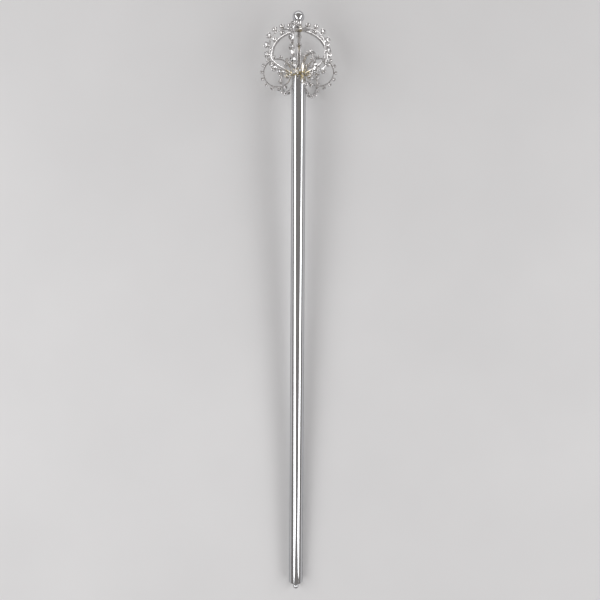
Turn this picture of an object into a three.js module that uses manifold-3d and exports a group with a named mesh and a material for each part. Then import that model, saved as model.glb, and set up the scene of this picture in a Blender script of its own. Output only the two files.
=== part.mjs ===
// A pageant sceptre of polished metal and clear stones, lying on a surface.
//
// A plain tube carries an open globe: six flat bands run from a soldered collar at the tube's top,
// out round the globe and in to a hub under a polished ball. Five hoops stand round the collar, each
// in a plane through the tube's axis. Bands and hoops carry round stones in flared cups.
//
// Millimetres. The sceptre is drawn upright: +Z runs from foot to ball, and z = 0 is the level of the
// collar. Azimuth turns about +Z from the front (0 degrees) to the right (90), back (180) and left
// (270). The whole is then laid down with its front facing up and its ball towards +X. The origin is
// at the middle of the footprint, on the surface that the sceptre lies on.

import * as THREE from "three";
import { mergeVertices } from "three/addons/utils/BufferGeometryUtils.js";
import Module from "manifold-3d";

const wasm = await Module();
wasm.setup();

// Shaft and foot
const tubeRadius = 6.35;
const tubeTop = -2.6;
const tubeFoot = -472;
const tubeEdge = 0.7;
const footRing = 2.9;
const tubeSides = 32;
const beadRadius = 2.65;
const beadStemRadius = 1.1;
const beadDrop = 4.1;
const beadSides = 14;

// Collar, hub and ball
const collarRadius = 5.5;
const collarShoulder = -0.3;
const collarTop = 1.9;
const collarTopRadius = 2.75;
const hubRadius = 3.9;
const hubLevel = 39;
const hubThickness = 2.4;
const neckRadius = 1.9;
const neckFoot = 41;
const neckFlare = 0.9;
const hubSides = 20;
const ballRadius = 5.35;
const ballLevel = 50.5;
const ballSides = 20;
const finialLean = 4;
const joint = 0.3;

// Globe bands: flat metal, bent in planes through the axis
const bandWidth = 3;
const bandThickness = 0.9;
const bandTopRadius = 4.35;
const bandFootRadius = 6.1;
const bandFootLevel = -1.5;
const crownPower = 2.3;
const crownSteps = 12;
const skirtBulge = 0.2;
const skirtDrop = 12;
const skirtTuck = 4;
const skirtSteps = 9;

// Hoops: thinner flat metal, closed into circles that touch the collar
const hoopWidth = 2.2;
const hoopThickness = 0.8;
const hoopSteps = 14;

// Stones in their cups, measured from the outer face of the metal that carries them. A setting is
// widest at its rim, and the stone above it slopes in to a flat table.
const rimShare = 0.7;
const tableShare = 0.6;
const bandStone = { headRadius: 2.65, footRadius: 1.35, height: 4.2, sides: 8 };
const bandStoneFirst = 4.3;
const bandStoneLast = 6.4;
const bandStonePitch = 7.8;
const hoopStone = { headRadius: 1.7, footRadius: 0.95, height: 2.9, sides: 6 };
const hoopStoneCount = 11;
const hoopStoneTurn = 24.5;

// The surface it lies on: a plane sloping away from the axis, as far from it as the lowest hoop stones
// are at the collar, and just inside the tube's wall at the foot, so each rests on a small flat.
const floorAtCollar = 29.3;
const floorAtFoot = 6.1;
const lieAngle = Math.atan2(floorAtCollar - floorAtFoot, -tubeFoot);
const floorBlock = { depth: 20, width: 120, length: 1200 };

// Each band was bent by hand, so each has its own azimuth, reach and height of its widest place. The
// back band, which the sceptre lies over, is pressed in a little.
const bands = [
  { name: "front", azimuth: -11, reach: 30, waist: 18.5, top: 39 },
  { name: "right_front", azimuth: 58, reach: 28.4, waist: 16.5, top: 39.5 },
  { name: "right_back", azimuth: 118, reach: 29.5, waist: 20, top: 39.8 },
  { name: "back", azimuth: 181, reach: 25.1, waist: 18.5, top: 39 },
  { name: "left_back", azimuth: 240, reach: 28.7, waist: 21, top: 39.6 },
  { name: "left_front", azimuth: 299, reach: 30, waist: 17.5, top: 38.4 },
];

// Stones run round the outer part of each hoop, from the first angle, counted from the side that
// touches the collar upwards.
const hoops = [
  { name: "right_front", azimuth: 31, radius: 12.8, out: 19.4, level: 1.5, first: 62 },
  { name: "right", azimuth: 89, radius: 12.2, out: 19.2, level: 1.7, first: 57 },
  { name: "right_back", azimuth: 147, radius: 12.4, out: 19.5, level: -1.6, first: 57.5 },
  { name: "left_back", azimuth: 213, radius: 12.2, out: 19, level: 0.8, first: 57.5 },
  { name: "left", azimuth: 270, radius: 12.8, out: 19.5, level: 0.7, first: 52 },
];

const polished = { color: 0xc9ccd2, roughness: 0.08, metalness: 1 };
const plated = { color: 0xd6d4d2, roughness: 0.2, metalness: 1 };
const solder = { color: 0xb3a062, roughness: 0.35, metalness: 1 };

// Turns a closed mesh into a manifold solid.
function toSolid(geometry) {
  const bare = geometry.clone();
  bare.deleteAttribute("normal");
  bare.deleteAttribute("uv");
  const merged = mergeVertices(bare, 1e-4);
  const mesh = new wasm.Mesh({
    numProp: 3,
    vertProperties: new Float32Array(merged.attributes.position.array),
    triVerts: new Uint32Array(merged.index.array),
  });
  return new wasm.Manifold(mesh);
}

// Turns a manifold solid back into a geometry.
function toGeometry(solid) {
  const mesh = solid.getMesh();
  const geometry = new THREE.BufferGeometry();
  geometry.setAttribute("position", new THREE.BufferAttribute(mesh.vertProperties, 3));
  geometry.setIndex(new THREE.BufferAttribute(mesh.triVerts, 1));
  geometry.computeVertexNormals();
  return geometry;
}

// A body of revolution about +Z from [radius, level] pairs that run upwards from axis to axis.
function turned(profile, sides) {
  const points = profile.map(([radius, level]) => new THREE.Vector2(radius, level));
  return new THREE.LatheGeometry(points, sides).rotateX(Math.PI / 2);
}

// Points of an arc of a circle in the (radius, level) plane, for a turned profile.
function arc(centre, level, radius, from, to, steps) {
  return Array.from({ length: steps + 1 }, (_, i) => {
    const angle = THREE.MathUtils.degToRad(from + ((to - from) * i) / steps);
    const across = Math.max(0, centre + radius * Math.cos(angle));
    return [across < 1e-9 ? 0 : across, level + radius * Math.sin(angle)];
  });
}

// A flat outline in the (radius, level) plane, given a width across that plane.
function plate(shape, width) {
  const geometry = new THREE.ExtrudeGeometry(shape, { depth: width, bevelEnabled: false, steps: 1 });
  return geometry.translate(0, 0, -width / 2).rotateX(Math.PI / 2);
}

// One stone in its flared cup, standing on +Z with its foot sunk into metal of the given thickness.
function setting(stone, metalThickness) {
  const { headRadius, footRadius, height, sides } = stone;
  const face = metalThickness / 2;
  const profile = [
    [0, 0],
    [footRadius, 0],
    [headRadius, face + rimShare * height],
    [tableShare * headRadius, face + height],
    [0, face + height],
  ];
  return turned(profile, sides).rotateZ(Math.PI / sides);
}

// The setting moved to a point of a metal strip, facing the direction given as an angle from the
// radius towards +Z.
function seated(geometry, radius, level, angle) {
  return geometry.clone().rotateY(Math.PI / 2 - angle).translate(radius, 0, level);
}

// The middle line of a globe band. The crown is a quarter of a superellipse from the hub to the
// widest place, and the skirt is one Bezier curve from there in to the collar.
function bandLine({ reach, waist, top }) {
  const rise = top - waist;
  const start = Math.asin(Math.pow(bandTopRadius / reach, crownPower / 2));
  const crown = Array.from({ length: crownSteps + 1 }, (_, i) => {
    const t = start + ((Math.PI / 2 - start) * i) / crownSteps;
    const across = reach * Math.pow(Math.sin(t), 2 / crownPower);
    const up = waist + rise * Math.pow(Math.abs(Math.cos(t)), 2 / crownPower);
    return new THREE.Vector2(across, i === crownSteps ? waist : up);
  });
  const skirt = new THREE.CubicBezierCurve(
    new THREE.Vector2(reach, waist),
    new THREE.Vector2(reach + skirtBulge, waist - skirtDrop),
    new THREE.Vector2(reach - skirtTuck, waist - skirtDrop),
    new THREE.Vector2(bandFootRadius, bandFootLevel),
  );
  return [...crown, ...skirt.getPoints(skirtSteps).slice(1)];
}

// Unit normals of a line of points, on its outer side.
function outward(line) {
  return line.map((_, i) => {
    const before = line[Math.max(i - 1, 0)];
    const after = line[Math.min(i + 1, line.length - 1)];
    const along = after.clone().sub(before).normalize();
    return new THREE.Vector2(-along.y, along.x);
  });
}

// Places of the stones along a band's middle line, near enough one pitch apart: point and outward
// angle for each.
function stonePlaces(line) {
  const normals = outward(line);
  const steps = line.slice(1).map((point, i) => point.distanceTo(line[i]));
  const span = steps.reduce((sum, step) => sum + step, 0) - bandStoneFirst - bandStoneLast;
  const spaces = Math.round(span / bandStonePitch);
  return Array.from({ length: spaces + 1 }, (_, k) => {
    let along = bandStoneFirst + (span * k) / spaces;
    let i = 0;
    while (along > steps[i]) {
      along -= steps[i];
      i += 1;
    }
    const share = along / steps[i];
    const point = line[i].clone().lerp(line[i + 1], share);
    const normal = normals[i].clone().lerp(normals[i + 1], share);
    return { point, angle: Math.atan2(normal.y, normal.x) };
  });
}

// One globe band with its stones, in the plane of azimuth 0.
function globeBand(form) {
  const line = bandLine(form);
  const normals = outward(line);
  const half = bandThickness / 2;
  const outer = line.map((point, i) => point.clone().addScaledVector(normals[i], half));
  const inner = line.map((point, i) => point.clone().addScaledVector(normals[i], -half));
  let solid = toSolid(plate(new THREE.Shape([...outer, ...inner.reverse()]), bandWidth));
  const stone = setting(bandStone, bandThickness);
  for (const { point, angle } of stonePlaces(line)) {
    solid = solid.add(toSolid(seated(stone, point.x, point.y, angle)));
  }
  return toGeometry(solid);
}

// One hoop with its stones, in the plane of azimuth 0.
function hoop({ radius, out, level, first }) {
  const half = hoopThickness / 2;
  const shape = new THREE.Shape().absarc(0, 0, radius + half, 0, 2 * Math.PI, false);
  shape.holes.push(new THREE.Path().absarc(0, 0, radius - half, 0, 2 * Math.PI, true));
  const ring = new THREE.ExtrudeGeometry(shape, {
    depth: hoopWidth,
    bevelEnabled: false,
    curveSegments: hoopSteps,
  });
  let solid = toSolid(ring.translate(0, 0, -hoopWidth / 2).rotateX(Math.PI / 2));
  const stone = setting(hoopStone, hoopThickness);
  for (let i = 0; i < hoopStoneCount; i += 1) {
    const turn = THREE.MathUtils.degToRad(180 - first - i * hoopStoneTurn);
    const seat = seated(stone, radius * Math.cos(turn), radius * Math.sin(turn), turn);
    solid = solid.add(toSolid(seat));
  }
  return toGeometry(solid).translate(out, 0, level);
}

// Cuts off what would reach below the surface that the sceptre lies on, from a shape that is still in
// the plane of azimuth 0 and will be turned to its own azimuth.
function trimmedToFloor(geometry, azimuth = 0) {
  const block = new THREE.BoxGeometry(floorBlock.depth, floorBlock.width, floorBlock.length)
    .translate(-floorBlock.depth / 2, 0, 0)
    .rotateY(-lieAngle)
    .translate(-floorAtCollar, 0, 0)
    .rotateZ(-THREE.MathUtils.degToRad(azimuth));
  return toGeometry(toSolid(geometry).subtract(toSolid(block)));
}

function piece(name, geometry, look, azimuth = 0) {
  const mesh = new THREE.Mesh(geometry, new THREE.MeshStandardMaterial(look));
  mesh.name = name;
  mesh.rotation.z = THREE.MathUtils.degToRad(azimuth);
  return mesh;
}

const shaft = turned(
  [
    [0, tubeFoot],
    [footRing, tubeFoot],
    ...arc(tubeRadius - tubeEdge, tubeFoot + tubeEdge, tubeEdge, -90, 0, 2),
    ...arc(tubeRadius - tubeEdge, tubeTop - tubeEdge, tubeEdge, 0, 90, 2),
    [0, tubeTop],
  ],
  tubeSides,
);

const bead = turned(
  [
    ...arc(0, tubeFoot - beadDrop, beadRadius, -90, 66, 8),
    [beadStemRadius, tubeFoot - joint],
    [0, tubeFoot - joint],
  ],
  beadSides,
);

const collar = turned(
  [
    [0, tubeTop + joint],
    [collarRadius, tubeTop + joint],
    [collarRadius, collarShoulder],
    [collarTopRadius, collarTop],
    [0, collarTop],
  ],
  hubSides,
);

const hub = turned(
  [
    [0, hubLevel - hubThickness / 2],
    [hubRadius, hubLevel - hubThickness / 2],
    [hubRadius, hubLevel + hubThickness / 2],
    [neckRadius, neckFoot],
    [neckRadius, ballLevel - ballRadius - joint - neckFlare],
    [neckRadius + neckFlare, ballLevel - ballRadius - joint],
    [0, ballLevel - ballRadius - joint],
  ],
  hubSides,
);

const ball = turned(arc(0, ballLevel, ballRadius, -90, 90, 10), ballSides);

// The hub and the ball on it lean a little to the left, about the hub's own middle.
const finial = new THREE.Group();
finial.position.z = hubLevel;
finial.rotation.x = THREE.MathUtils.degToRad(finialLean);
finial.add(piece("top_hub", hub.translate(0, 0, -hubLevel), plated));
finial.add(piece("ball", ball.translate(0, 0, -hubLevel), polished));

const upright = new THREE.Group();
upright.add(piece("shaft", trimmedToFloor(shaft), polished));
upright.add(piece("foot_bead", bead, polished));
upright.add(piece("collar", collar, solder));
upright.add(finial);
for (const form of bands) {
  upright.add(piece(`globe_band_${form.name}`, globeBand(form), plated, form.azimuth));
}
for (const form of hoops) {
  const lying = trimmedToFloor(hoop(form), form.azimuth);
  upright.add(piece(`hoop_${form.name}`, lying, plated, form.azimuth));
}

// Laid down: the front turns up, the foot stays lower than the head by the lie angle.
upright.rotation.set(0, Math.PI / 2 - lieAngle, Math.PI);
upright.position.z = floorAtCollar * Math.cos(lieAngle);

const sceptre = new THREE.Group();
sceptre.name = "sceptre";
sceptre.add(upright);
sceptre.updateMatrixWorld(true);
const middle = new THREE.Box3().setFromObject(sceptre, true).getCenter(new THREE.Vector3());
sceptre.position.set(-middle.x, -middle.y, 0);

export default sceptre;
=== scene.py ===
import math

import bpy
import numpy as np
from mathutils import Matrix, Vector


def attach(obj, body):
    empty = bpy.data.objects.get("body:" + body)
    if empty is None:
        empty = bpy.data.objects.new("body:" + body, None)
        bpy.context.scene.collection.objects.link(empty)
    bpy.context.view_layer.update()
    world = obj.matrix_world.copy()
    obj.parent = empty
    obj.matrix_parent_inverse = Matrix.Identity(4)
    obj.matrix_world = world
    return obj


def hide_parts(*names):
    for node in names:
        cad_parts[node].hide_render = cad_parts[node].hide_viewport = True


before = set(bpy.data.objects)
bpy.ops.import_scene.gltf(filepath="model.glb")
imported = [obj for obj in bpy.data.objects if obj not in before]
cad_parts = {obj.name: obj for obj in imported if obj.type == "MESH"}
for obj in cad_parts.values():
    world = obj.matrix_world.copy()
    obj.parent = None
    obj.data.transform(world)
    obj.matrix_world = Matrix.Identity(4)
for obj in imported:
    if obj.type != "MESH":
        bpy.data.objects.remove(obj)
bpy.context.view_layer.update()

# A pageant sceptre lying on a pale floor: a chromed tube, an open globe of bent metal bands set with
# clear stones, five stone-set hoops round the globe's foot, a polished ball on top and a bead below.
#
# Lengths named below are millimetres, and every piece is drawn upright first: radius and side across,
# level along the tube, with level 0 at the solder collar. `laid_down` turns that into the place where
# the piece lies, in metres.

MM = 0.001

# How the sceptre lies: the collar is higher than the foot, and the tube slopes between them.
COLLAR_HEIGHT = 29.3
FOOT_HEIGHT = 6.1
TUBE_FOOT = -472.0
SLOPE = math.atan2(COLLAR_HEIGHT - FOOT_HEIGHT, -TUBE_FOOT)
COLLAR_PLACE = (211.215, -0.455, COLLAR_HEIGHT * math.cos(SLOPE))

# Tube, bead, collar, hub and ball
TUBE_RADIUS = 6.35
TUBE_TOP = -2.6
TUBE_EDGE = 0.7
BEAD_RADIUS = 2.65
BEAD_LEVEL = TUBE_FOOT - 4.1
COLLAR_TOP = 1.9
HUB_LEVEL = 39.0
HUB_RADIUS = 4.0
NECK_RADIUS = 3.1
BALL_RADIUS = 5.25
BALL_LEVEL = 50.2
FINIAL_LEAN = math.radians(3.2)

# Globe bands, flat metal bent in planes through the tube's axis: azimuth, reach, level of the widest
# place, level at the hub, way along the band to the first stone
BAND_WIDTH = 3.2
BAND_THICKNESS = 0.9
BAND_TOP_RADIUS = 3.6
BAND_FOOT = (5.6, -1.7)
CROWN_POWER = 2.3
SKIRT = (0.2, 12.0, 4.0)
BAND_STONES = (6.4, 7.8)
BANDS = {
    "front": (-11, 30.0, 18.5, 39.0, 4.3),
    "right_front": (58, 28.0, 16.5, 39.0, 5.4),
    "right_back": (118, 28.9, 20.0, 38.9, 4.3),
    "back": (180, 25.1, 18.5, 39.0, 4.3),
    "left_back": (241, 27.9, 21.0, 38.3, 4.8),
    "left_front": (299, 30.0, 17.5, 38.4, 5.5),
}

# Hoops: azimuth, radius, distance of the middle from the axis, level, angle of the first stone, stones
HOOP_WIDTH = 2.6
HOOP_THICKNESS = 0.8
HOOP_STONE_TURN = 24.5
HOOPS = {
    "right_front": (27, 11.7, 18.4, 0.3, 62.0, 11),
    "right": (89, 12.2, 19.15, 1.1, 59.0, 11),
    "right_back": (147, 12.4, 19.5, -1.6, 57.5, 11),
    "left_back": (213, 12.2, 19.0, 0.5, 57.5, 10),
    "left": (270, 12.5, 19.2, 0.3, 54.5, 11),
}

# A stone in its cup: radius of the head, radius of the foot, height above the metal
BAND_CUP = (2.6, 1.3, 4.15)
HOOP_CUP = (1.68, 0.92, 2.87)
STONE_SHARE = 0.86
TABLE_SHARE = 0.58
STAR_SHARE = 0.84

# How finely things are drawn: points round a piece or along a line
STRIP_POINTS = 16
CUP_POINTS = 16
CROWN_POINTS = 49
SKIRT_POINTS = 37
BAND_POINTS = 97
HOOP_POINTS = 96
TUBE_SIDES = 96
TUBE_RINGS = 40
BEAD_SIDES = 40
BALL_SIDES = 96
COLLAR_SIDES = 120
HUB_SIDES = 72

# Floor half width and lights, metres: a softbox runs from one end to the other, with its width and watts
FLOOR_REACH = 6
STRIP_WIDTH = 0.36
STRIP_WATTS = 5.0
PANEL_WIDTH = 0.4
PANEL_WATTS = 2.0
ROOM_COLOUR = (0.25, 0.235, 0.225, 1)

# Camera, metres, millimetres for the lens, and radians for the small turns
LENS_LENGTH = 37.74
SENSOR_WIDTH = 36
CAMERA_PLACE = (0.00905, -0.00147, 0.600)
CAMERA_TILT = -0.005
CAMERA_PAN = -0.0023
CAMERA_ROLL = 0.0059


# ---------------------------------------------------------------- placing

def laid_down(points):
    """Upright millimetres to where the sceptre lies, in metres: front becomes up, right becomes -Y,
    and the tube's own direction becomes +X, sloping up by SLOPE. Nothing goes below the floor."""
    front, right, along = np.moveaxis(np.asarray(points, float), -1, 0)
    c, s = math.cos(SLOPE), math.sin(SLOPE)
    place = np.stack([along * c - front * s, -right, along * s + front * c], -1)
    place = (place + np.array(COLLAR_PLACE)) * MM
    place[..., 2] = np.maximum(place[..., 2], 0.0)
    return place


def swung(points, azimuth):
    """Turns upright points about the tube's axis by an azimuth in degrees, from front to right."""
    a = math.radians(azimuth)
    front, right, along = np.moveaxis(np.asarray(points, float), -1, 0)
    return np.stack([front * math.cos(a) - right * math.sin(a),
                     front * math.sin(a) + right * math.cos(a), along], -1)


def leaning(points):
    """Leans upright points to the left by FINIAL_LEAN about the hub's middle."""
    front, right, along = np.moveaxis(np.asarray(points, float), -1, 0)
    c, s = math.cos(FINIAL_LEAN), math.sin(FINIAL_LEAN)
    up = along - HUB_LEVEL
    return np.stack([front, right * c - up * s, HUB_LEVEL + right * s + up * c], -1)


# ---------------------------------------------------------------- shells and meshes

def shell(grid, around=True, closed=False):
    """Faces of a grid of points (rows, columns, 3): a quad between each four neighbours. Columns join
    up when `around`; rows join up when `closed`, and otherwise each end row gets one flat cap."""
    rows, cols = grid.shape[:2]
    i = np.arange(rows if closed else rows - 1)[:, None]
    j = np.arange(cols if around else cols - 1)[None, :]
    i2, j2 = (i + 1) % rows, (j + 1) % cols
    quads = np.stack([i * cols + j, i * cols + j2, i2 * cols + j2, i2 * cols + j], -1).reshape(-1, 4)
    faces = quads.tolist()
    if not closed:
        faces.append(np.arange(cols)[::-1].tolist())
        faces.append((np.arange(cols) + (rows - 1) * cols).tolist())
    return grid.reshape(-1, 3), faces


def gathered(shells):
    """Several (points, faces) shells as one, with the face numbers moved along."""
    points, faces, start = [], [], 0
    for place, around in shells:
        points.append(place)
        faces.extend([[k + start for k in face] for face in around])
        start += len(place)
    return np.concatenate(points), faces


def put_in(name, shells, material, replaces=(), smooth=True, sharp=35):
    """Makes one piece from upright shells, lays it down and hands it to the frame."""
    points, faces = gathered(shells)
    mesh = bpy.data.meshes.new(name)
    mesh.from_pydata(laid_down(points).tolist(), [], faces)
    mesh.validate()
    mesh.update()
    mesh.polygons.foreach_set("use_smooth", np.full(len(mesh.polygons), smooth))
    if smooth:
        mesh.set_sharp_from_angle(angle=math.radians(sharp))
    piece = bpy.data.objects.new(name, mesh)
    bpy.context.scene.collection.objects.link(piece)
    piece.data.materials.append(material)
    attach(piece, "root")
    if replaces:
        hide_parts(*replaces)
    return piece


# ---------------------------------------------------------------- shapes

def turned(profile, sides, wobble=None):
    """A body of revolution about the tube's axis: each [radius, level] of the profile becomes a ring
    of `sides` points. `wobble(angle, level)` may swell the radius. Ends close with flat caps."""
    profile = np.asarray(profile, float)
    angle = np.linspace(0, 2 * np.pi, sides, endpoint=False)
    radius = np.repeat(profile[:, :1], sides, 1)
    level = np.repeat(profile[:, 1:2], sides, 1)
    if wobble is not None:
        radius = radius * wobble(angle[None, :], level)
    return np.stack([radius * np.cos(angle), radius * np.sin(angle), level], -1)


def bend(centre, level, radius, start, end, steps):
    """[radius, level] pairs round an arc, from one angle in degrees to another."""
    t = np.radians(np.linspace(start, end, steps + 1))
    return np.stack([np.maximum(centre + radius * np.cos(t), 0.02), level + radius * np.sin(t)], -1)


def normals(line, loop=False):
    """Unit normals on the left of a flat line of points: its direction turned by a right angle."""
    if loop:
        along = np.roll(line, -1, 0) - np.roll(line, 1, 0)
    else:
        along = np.gradient(line, axis=0)
    along /= np.linalg.norm(along, axis=1, keepdims=True)
    return np.stack([-along[:, 1], along[:, 0]], -1)


def strip(line, width, thickness, loop=False, flare=None):
    """Flat metal along a line in the (radius, level) plane: a section with rounded edges, a
    superellipse |u|^4 + |w|^4 = 1 of 16 points, carried along the line on its normals."""
    t = np.linspace(0, 2 * np.pi, STRIP_POINTS, endpoint=False) + np.pi / STRIP_POINTS
    u = np.sign(np.cos(t)) * np.abs(np.cos(t)) ** 0.5 * thickness / 2
    w = np.sign(np.sin(t)) * np.abs(np.sin(t)) ** 0.5 * width / 2
    n = normals(line, loop)
    size = np.ones(len(line)) if flare is None else flare
    across = line[:, None, :] + n[:, None, :] * u[None, :, None]
    return np.stack([across[..., 0], size[:, None] * w[None, :], across[..., 1]], -1)


def band_line(reach, waist, top):
    """Middle line of a globe band, hub to collar: a quarter superellipse of power CROWN_POWER from
    the hub out to the widest place, then one cubic Bezier in to the collar."""
    start = math.asin((BAND_TOP_RADIUS / reach) ** (CROWN_POWER / 2))
    t = np.linspace(start, np.pi / 2, CROWN_POINTS)
    crown = np.stack([reach * np.sin(t) ** (2 / CROWN_POWER),
                      waist + (top - waist) * np.abs(np.cos(t)) ** (2 / CROWN_POWER)], -1)
    bulge, drop, tuck = SKIRT
    a, b, c, d = np.array([(reach, waist), (reach + bulge, waist - drop),
                           (reach - tuck, waist - drop), BAND_FOOT], float)
    s = np.linspace(0, 1, SKIRT_POINTS)[1:, None]
    skirt = a * (1 - s) ** 3 + 3 * b * s * (1 - s) ** 2 + 3 * c * s ** 2 * (1 - s) + d * s ** 3
    line = np.concatenate([crown, skirt])
    length = np.concatenate([[0], np.cumsum(np.linalg.norm(np.diff(line, axis=0), axis=1))])
    even = np.linspace(0, length[-1], BAND_POINTS)
    return np.stack([np.interp(even, length, line[:, k]) for k in (0, 1)], -1), even


def band_seats(line, length, first):
    """Where a band's stones sit: points and outward normals at an even pitch along the line."""
    last, pitch = BAND_STONES
    span = length[-1] - first - last
    places = np.linspace(first, length[-1] - last, round(span / pitch) + 1)
    n = normals(line)
    point = np.stack([np.interp(places, length, line[:, k]) for k in (0, 1)], -1)
    out = np.stack([np.interp(places, length, n[:, k]) for k in (0, 1)], -1)
    return point, out / np.linalg.norm(out, axis=1, keepdims=True)


def hoop_seats(radius, out, level, first, count):
    """Where a hoop's stones sit: points and normals on the circle, turning down from the inside."""
    a = np.radians(180 - first - HOOP_STONE_TURN * np.arange(count))
    normal = np.stack([np.cos(a), np.sin(a)], -1)
    return np.array([out, level]) + radius * normal, normal


def seated(shape, point, out):
    """Stands a shape, drawn about +Z at the origin, on a point of the metal, facing outwards."""
    x, y, z = np.moveaxis(shape, -1, 0)
    side = np.array([out[1], -out[0]])
    return np.stack([point[0] + z * out[0] + x * side[0], y, point[1] + z * out[1] + x * side[1]], -1)


def cup(head, foot, height, thickness):
    """A stamped cup on +Z: a waisted foot that flares to an upright wall with four claws, then the
    inside, a bright cone. Rings of 16 points; the rim rises and leans in as max(0, cos 4a)."""
    face = thickness / 2
    a = np.linspace(0, 2 * np.pi, CUP_POINTS, endpoint=False)
    claw = np.maximum(0, np.cos(4 * a))
    rings = [
        (foot * 1.1, -0.2, 0, 0),
        (foot, face + 0.24 * height, 0, 0),
        (0.92 * head, face + 0.38 * height, 0, 0),
        (head, face + 0.46 * height, 0, 0),
        (head, face + 0.78 * height, 0.03, 0.12),
        (0.95 * head, face + 0.81 * height, 0.16, 0.16),
        (0.88 * head, face + 0.79 * height, 0.12, 0.14),
        (0.86 * head, face + 0.66 * height, 0, 0),
        (0.2 * head, face + 0.36 * height, 0, 0),
    ]
    grid = [np.stack([(r - lean * head * claw) * np.cos(a), (r - lean * head * claw) * np.sin(a),
                      h + rise * height * claw], -1) for r, h, lean, rise in rings]
    return np.stack(grid)


def cut_stone(head, height, thickness):
    """A round stone cut in eight: table, eight star facets, eight kites, eight girdle facets above a
    thin girdle, and eight long facets that meet in a point below."""
    r = STONE_SHARE * head
    girdle = thickness / 2 + 0.79 * height
    top = thickness / 2 + 0.995 * height
    k = np.radians(45 * np.arange(8))
    h = k + np.radians(22.5)
    ring = lambda radius, angle, level: np.stack(
        [radius * np.cos(angle), radius * np.sin(angle), np.full(8, level)], -1)
    points = np.concatenate([
        ring(TABLE_SHARE * r, k, top),
        ring(STAR_SHARE * r, h, girdle + 0.5 * (top - girdle)),
        ring(r, k, girdle + 0.03 * height),
        ring(r, k, girdle - 0.01 * height),
        [[0, 0, thickness / 2 + 0.4 * height]],
    ])
    i = np.arange(8)
    j = (i + 1) % 8
    table = [i.tolist()]
    stars = np.stack([i, 8 + i, j], -1)
    kites = np.stack([j, 8 + i, 16 + j, 8 + j], -1)
    breaks = np.stack([8 + i, 16 + i, 16 + j], -1)
    edge = np.stack([16 + i, 24 + i, 24 + j, 16 + j], -1)
    below = np.stack([24 + i, np.full(8, 32), 24 + j], -1)
    faces = table + [f for group in (stars, kites, breaks, edge, below) for f in group.tolist()]
    return points, faces


# ---------------------------------------------------------------- finishes

def finish_named(name, colour, metallic=1.0, roughness=0.2, rim=1.0):
    """A material whose shader holds the plain values, rim being the grey of a metal's steep edge;
    returns the material, the node tree and the shader."""
    material = bpy.data.materials.new(name)
    material.use_nodes = True
    shader = material.node_tree.nodes["Principled BSDF"]
    shader.inputs["Base Color"].default_value = (*colour, 1)
    shader.inputs["Metallic"].default_value = metallic
    shader.inputs["Roughness"].default_value = roughness
    shader.inputs["Specular Tint"].default_value = (rim, rim, rim, 1)
    return material, material.node_tree, shader


def node(tree, kind, **settings):
    """Adds a node; settings are its properties, and inputs are given by socket name in a dict."""
    made = tree.nodes.new(kind)
    inputs = settings.pop("inputs", {})
    for key, value in settings.items():
        setattr(made, key, value)
    for key, value in inputs.items():
        made.inputs[key].default_value = value
    return made


def noise(tree, scale, detail=3.0, stretch=(1, 1, 1), roughness=0.5):
    """Noise on the piece's own coordinates, in waves per metre, stretched by a Mapping node."""
    where = node(tree, "ShaderNodeTexCoord")
    mapping = node(tree, "ShaderNodeMapping", inputs={"Scale": stretch})
    tree.links.new(where.outputs["Object"], mapping.inputs["Vector"])
    made = node(tree, "ShaderNodeTexNoise",
                inputs={"Scale": scale, "Detail": detail, "Roughness": roughness})
    tree.links.new(mapping.outputs["Vector"], made.inputs["Vector"])
    return made.outputs["Fac"]


def between(tree, value, low, high, start=0.3, end=0.7):
    """Maps a value from start..end to low..high."""
    made = node(tree, "ShaderNodeMapRange", inputs={"From Min": start, "From Max": end,
                                                    "To Min": low, "To Max": high})
    tree.links.new(value, made.inputs["Value"])
    return made.outputs["Result"]


def mixed(tree, share, first, second):
    """A colour between two, by a share; each is a plain colour or a socket."""
    made = node(tree, "ShaderNodeMix", data_type="RGBA")
    tree.links.new(share, made.inputs[0])
    for socket, colour in ((made.inputs[6], first), (made.inputs[7], second)):
        if isinstance(colour, tuple):
            socket.default_value = (*colour, 1)
        else:
            tree.links.new(colour, socket)
    return made.outputs[2]


def bumped(tree, shader, height, strength, distance):
    """Raises the surface by a height, as a bump of a distance in metres."""
    made = node(tree, "ShaderNodeBump", inputs={"Strength": strength, "Distance": distance})
    tree.links.new(height, made.inputs["Height"])
    tree.links.new(made.outputs["Normal"], shader.inputs["Normal"])


def polished_chrome():
    """Mirror chrome on the tube, ball and bead: long faint drawing waves, smears in the gloss."""
    material, tree, shader = finish_named("polished_chrome", (0.68, 0.69, 0.71), roughness=0.07, rim=0.55)
    smear = noise(tree, 60, 4, (0.25, 1, 1))
    tree.links.new(mixed(tree, between(tree, smear, 0, 1), (0.72, 0.73, 0.75), (0.62, 0.63, 0.65)),
                   shader.inputs["Base Color"])
    tree.links.new(between(tree, smear, 0.05, 0.13), shader.inputs["Roughness"])
    bumped(tree, shader, noise(tree, 35, 1, (0.3, 1, 1)), 0.12, 0.0006)
    return material


def near_solder(tree, reach):
    """How close a point is to the collar or the hub: 1 there, fading to 0 over the reach."""
    where = node(tree, "ShaderNodeTexCoord")
    shares = []
    for level, size in ((0, reach), (HUB_LEVEL, 0.25 * reach)):
        spot = laid_down(np.array([[0.0, 0.0, level]]))[0]
        distance = node(tree, "ShaderNodeVectorMath", operation="DISTANCE")
        distance.inputs[1].default_value = tuple(spot)
        tree.links.new(where.outputs["Object"], distance.inputs[0])
        shares.append(between(tree, distance.outputs["Value"], 1, 0, 0.45 * size, size))
    most = node(tree, "ShaderNodeMath", operation="MAXIMUM")
    tree.links.new(shares[0], most.inputs[0])
    tree.links.new(shares[1], most.inputs[1])
    return most.outputs[0]


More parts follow.
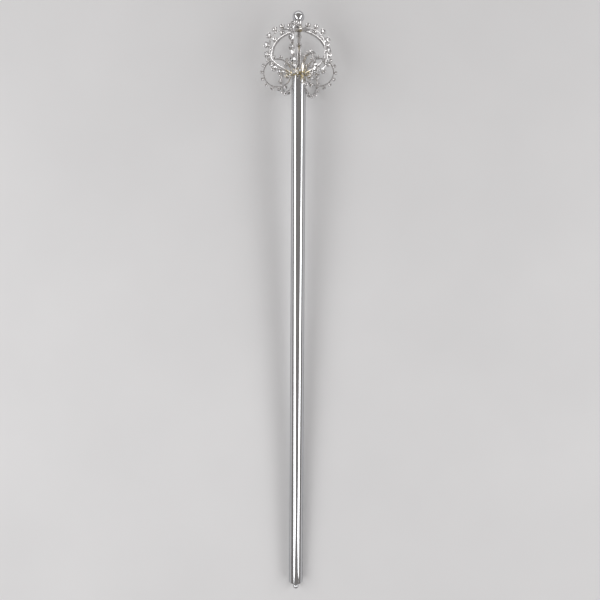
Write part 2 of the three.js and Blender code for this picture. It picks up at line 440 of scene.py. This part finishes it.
def plated_metal():
    """Bright plate on bands, hoops and cups, going brassy where the solder has run on to it."""
    material, tree, shader = finish_named("plated_metal", (0.78, 0.77, 0.77), roughness=0.16, rim=0.6)
    cloud = noise(tree, 420, 3)
    silver = mixed(tree, between(tree, cloud, 0, 1), (0.86, 0.85, 0.85), (0.64, 0.63, 0.63))
    run = node(tree, "ShaderNodeMath", operation="MULTIPLY")
    tree.links.new(near_solder(tree, 0.017), run.inputs[0])
    tree.links.new(between(tree, noise(tree, 260, 2), 0, 1, 0.38, 0.62), run.inputs[1])
    tree.links.new(mixed(tree, run.outputs[0], silver, (0.62, 0.50, 0.24)),
                   shader.inputs["Base Color"])
    tree.links.new(between(tree, cloud, 0.1, 0.26), shader.inputs["Roughness"])
    bumped(tree, shader, noise(tree, 700, 2), 0.3, 0.00012)
    return material


def run_solder():
    """Brass-tinted solder, uneven in colour and gloss, with small pits."""
    material, tree, shader = finish_named("run_solder", (0.60, 0.49, 0.25), roughness=0.3)
    cloud = noise(tree, 500, 4)
    tree.links.new(mixed(tree, between(tree, cloud, 0, 1), (0.70, 0.58, 0.28), (0.42, 0.36, 0.22)),
                   shader.inputs["Base Color"])
    tree.links.new(between(tree, cloud, 0.22, 0.42), shader.inputs["Roughness"])
    bumped(tree, shader, noise(tree, 900, 3), 0.5, 0.0002)
    return material


def clear_stone():
    """Clear cut glass, see-through, with faint wear in the gloss."""
    material, tree, shader = finish_named("clear_stone", (0.97, 0.975, 0.985), 0.0, 0.0)
    shader.inputs["Transmission Weight"].default_value = 1.0
    shader.inputs["IOR"].default_value = 1.56
    bumped(tree, shader, noise(tree, 900, 2), 0.04, 0.00005)
    return material


POLISHED = polished_chrome()
PLATED = plated_metal()
SOLDER = run_solder()
STONE = clear_stone()


# ---------------------------------------------------------------- the sceptre

def tube():
    """The shaft: one long turned body with eased edges and a flat foot."""
    levels = np.linspace(TUBE_FOOT + TUBE_EDGE, TUBE_TOP - TUBE_EDGE, TUBE_RINGS)
    profile = np.concatenate([
        [[0.02, TUBE_FOOT], [TUBE_RADIUS - TUBE_EDGE - 0.3, TUBE_FOOT]],
        bend(TUBE_RADIUS - TUBE_EDGE, TUBE_FOOT + TUBE_EDGE, TUBE_EDGE, -90, 0, 8),
        np.stack([np.full(TUBE_RINGS - 2, TUBE_RADIUS), levels[1:-1]], -1),
        bend(TUBE_RADIUS - TUBE_EDGE, TUBE_TOP - TUBE_EDGE, TUBE_EDGE, 0, 90, 8),
        [[0.02, TUBE_TOP]],
    ])
    put_in("tube", [shell(turned(profile, TUBE_SIDES))], POLISHED, ["shaft"], sharp=60)


def foot_ball():
    """The bead: a ball on a short stem that runs into the tube's foot, with a fillet of solder."""
    profile = np.concatenate([
        bend(0, BEAD_LEVEL, BEAD_RADIUS, -90, 62, 24),
        [[1.1, TUBE_FOOT - 1.0], [1.15, TUBE_FOOT - 0.5], [1.9, TUBE_FOOT + 0.1]],
    ])
    put_in("foot_ball", [shell(turned(profile, BEAD_SIDES))], POLISHED, ["foot_bead"])


def top_ball():
    """The ball: a turned sphere with a faint closing seam round its middle."""
    profile = bend(0, BALL_LEVEL, BALL_RADIUS, -90, 90, 64)
    seam = 1 - 0.004 * np.exp(-((profile[:, 1] - BALL_LEVEL) / 0.15) ** 2)
    profile[:, 0] *= seam
    put_in("top_ball", [shell(leaning(turned(profile, BALL_SIDES)))], POLISHED, ["ball"])


def lumps(angle, places, width):
    """Sum of smooth bumps round a circle, one at each azimuth of the places, width in degrees."""
    turn = np.degrees(angle)[..., None] - np.asarray(places, float)
    turn = (turn + 180) % 360 - 180
    return np.exp(-(turn / width) ** 2).sum(-1)


def collar():
    """The solder: a low dome over the tube's top whose side swells where each band and hoop meets
    it, by one bump for each, and ripples a little between."""
    bands = [form[0] for form in BANDS.values()]
    hoops = [form[0] for form in HOOPS.values()]

    def uneven(angle, level):
        high = np.clip((level - TUBE_TOP) / (COLLAR_TOP - TUBE_TOP), 0, 1)
        swell = 0.13 * lumps(angle, bands, 13) + 0.17 * lumps(angle, hoops, 9)
        ripple = 0.03 * np.sin(5 * angle + 1.3) + 0.02 * np.sin(9 * angle + level)
        return 0.96 + (swell + ripple) * np.sin(np.pi * np.clip(high * 1.15, 0, 1))

    level = np.array([-2.75, -2.5, -2.1, -1.5, -0.9, -0.3, 0.3, 0.8, 1.2, 1.5, 1.75, 1.9])
    radius = np.array([5.2, 5.6, 5.75, 5.7, 5.6, 5.45, 5.0, 4.4, 3.6, 2.7, 1.5, 0.02])
    grid = turned(np.stack([radius, level], -1), COLLAR_SIDES, uneven)
    put_in("solder_collar", [shell(grid)], SOLDER, ["collar"], sharp=80)


def hub():
    """The hub: a small plate with rounded edges where the bands meet, and a stout neck that cups the
    ball; solder makes a lump at each band."""
    def uneven(angle, level):
        near = np.exp(-((level - HUB_LEVEL) / 1.2) ** 2)
        return 1 + 0.10 * near * lumps(angle, [form[0] for form in BANDS.values()], 15)

    foot = BALL_LEVEL - BALL_RADIUS
    profile = np.array([
        [0.02, HUB_LEVEL - 1.3], [2.4, HUB_LEVEL - 1.25], [3.5, HUB_LEVEL - 1.0],
        [HUB_RADIUS, HUB_LEVEL - 0.4], [HUB_RADIUS, HUB_LEVEL + 0.4], [3.6, HUB_LEVEL + 1.0],
        [NECK_RADIUS + 0.15, HUB_LEVEL + 1.6], [NECK_RADIUS, HUB_LEVEL + 2.4],
        [NECK_RADIUS, foot - 1.2], [NECK_RADIUS + 0.15, foot - 0.5], [NECK_RADIUS + 0.4, foot + 0.2],
        [NECK_RADIUS + 0.3, foot + 0.9], [NECK_RADIUS - 0.3, foot + 0.9], [0.02, foot + 0.35],
    ])
    grid = leaning(turned(profile, HUB_SIDES, uneven))
    put_in("top_plate", [shell(grid)], PLATED, ["top_hub"], sharp=70)


def stones_for(name, seats, form, thickness, azimuth):
    """All cut stones of one band or hoop as one piece."""
    head, _, height = form
    points, faces = cut_stone(head, height, thickness)
    shells = [(swung(seated(points, p, n), azimuth), faces) for p, n in zip(*seats)]
    put_in(name, shells, STONE, smooth=False)


def cups_for(seats, form, thickness, azimuth):
    """All cups of one band or hoop, as shells."""
    grid = cup(*form, thickness)
    return [shell(swung(seated(grid, p, n), azimuth)) for p, n in zip(*seats)]


def band(name, azimuth, reach, waist, top, first):
    """A globe band with its cups, and its stones as a piece of their own."""
    line, length = band_line(reach, waist, top)
    ends = np.minimum(length, length[-1] - length)
    flare = 1 - 0.25 * np.exp(-(ends / 1.6) ** 2)
    body = strip(line, BAND_WIDTH, BAND_THICKNESS, flare=flare)
    seats = band_seats(line, length, first)
    shells = [shell(swung(body, azimuth))] + cups_for(seats, BAND_CUP, BAND_THICKNESS, azimuth)
    put_in(f"band_{name}", shells, PLATED, [f"globe_band_{name}"])
    stones_for(f"band_stones_{name}", seats, BAND_CUP, BAND_THICKNESS, azimuth)


def hoop(name, azimuth, radius, out, level, first, count):
    """A hoop with its cups, and its stones as a piece of their own."""
    a = np.linspace(0, 2 * np.pi, HOOP_POINTS, endpoint=False)
    line = np.array([out, level]) + radius * np.stack([np.cos(-a), np.sin(-a)], -1)
    body = strip(line, HOOP_WIDTH, HOOP_THICKNESS, loop=True)
    seats = hoop_seats(radius, out, level, first, count)
    shells = [shell(swung(body, azimuth), closed=True)]
    shells += cups_for(seats, HOOP_CUP, HOOP_THICKNESS, azimuth)
    put_in(f"ring_{name}", shells, PLATED, [f"hoop_{name}"])
    stones_for(f"ring_stones_{name}", seats, HOOP_CUP, HOOP_THICKNESS, azimuth)


tube()
foot_ball()
collar()
hub()
top_ball()
for place, form in BANDS.items():
    band(place, *form)
for place, form in HOOPS.items():
    hoop(place, *form)


# ---------------------------------------------------------------- floor, light and camera

def floor():
    """A wide pale floor, very faintly mottled."""
    mesh = bpy.data.meshes.new("floor")
    r = FLOOR_REACH
    mesh.from_pydata([(-r, -r, 0), (r, -r, 0), (r, r, 0), (-r, r, 0)], [], [(0, 1, 2, 3)])
    made = bpy.data.objects.new("floor", mesh)
    bpy.context.scene.collection.objects.link(made)
    material, tree, shader = finish_named("floor_paper", (0.7, 0.7, 0.71), 0.0, 0.8)
    tree.links.new(mixed(tree, between(tree, noise(tree, 8, 3), 0, 1), (0.70, 0.70, 0.71),
                         (0.73, 0.73, 0.74)), shader.inputs["Base Color"])
    mesh.materials.append(material)


def softbox(name, start, end, width, watts, aim=(0.05, 0, 0.02), colour=(1, 1, 1)):
    """A rectangular area light whose long middle runs from start to end, turned to face a point."""
    start, end = Vector(start), Vector(end)
    lamp = bpy.data.lights.new(name, "AREA")
    lamp.shape = "RECTANGLE"
    lamp.size, lamp.size_y = (end - start).length, width
    lamp.energy = watts
    lamp.color = colour
    along = (end - start).normalized()
    back = (start + end) / 2 - Vector(aim)
    back = (back - along * back.dot(along)).normalized()
    made = bpy.data.objects.new(name, lamp)
    made.matrix_world = (Matrix.Translation((start + end) / 2)
                         @ Matrix((along, back.cross(along), back)).transposed().to_4x4())
    made.visible_camera = False
    bpy.context.scene.collection.objects.link(made)


def studio():
    """Two long strips that close in towards the foot, a low panel beyond the ball and a dim warm
    room."""
    softbox("strip_left", (0.65, 1.10, 0.6), (-0.60, 0.22, 0.6), STRIP_WIDTH, STRIP_WATTS)
    softbox("strip_right", (0.65, -1.10, 0.6), (-0.65, -0.45, 0.6), STRIP_WIDTH, STRIP_WATTS)
    softbox("end_panel", (0.95, 0.8, 0.3), (0.95, -0.8, 0.3), PANEL_WIDTH, PANEL_WATTS)
    world = bpy.data.worlds.new("room")
    world.use_nodes = True
    world.node_tree.nodes["Background"].inputs["Color"].default_value = ROOM_COLOUR
    bpy.context.scene.world = world
    bpy.context.scene.view_settings.view_transform = "Standard"


def camera():
    """The camera looks down on the sceptre from above its middle, ball end up in the picture."""
    lens = bpy.data.cameras.new("camera")
    lens.sensor_width = SENSOR_WIDTH
    lens.lens = LENS_LENGTH
    lens.clip_start, lens.clip_end = 0.01, 50
    right, up, back = Vector((0, -1, 0)), Vector((1, 0, 0)), Vector((0, 0, 1))
    tilt = Matrix.Rotation(CAMERA_TILT, 3, right)
    up, back = tilt @ up, tilt @ back
    pan = Matrix.Rotation(CAMERA_PAN, 3, up)
    right, back = pan @ right, pan @ back
    roll = Matrix.Rotation(CAMERA_ROLL, 3, back)
    right, up = roll @ right, roll @ up
    made = bpy.data.objects.new("camera", lens)
    made.matrix_world = (Matrix.Translation(CAMERA_PLACE)
                         @ Matrix((right, up, back)).transposed().to_4x4())
    bpy.context.scene.collection.objects.link(made)
    bpy.context.scene.camera = made


floor()
studio()
camera()
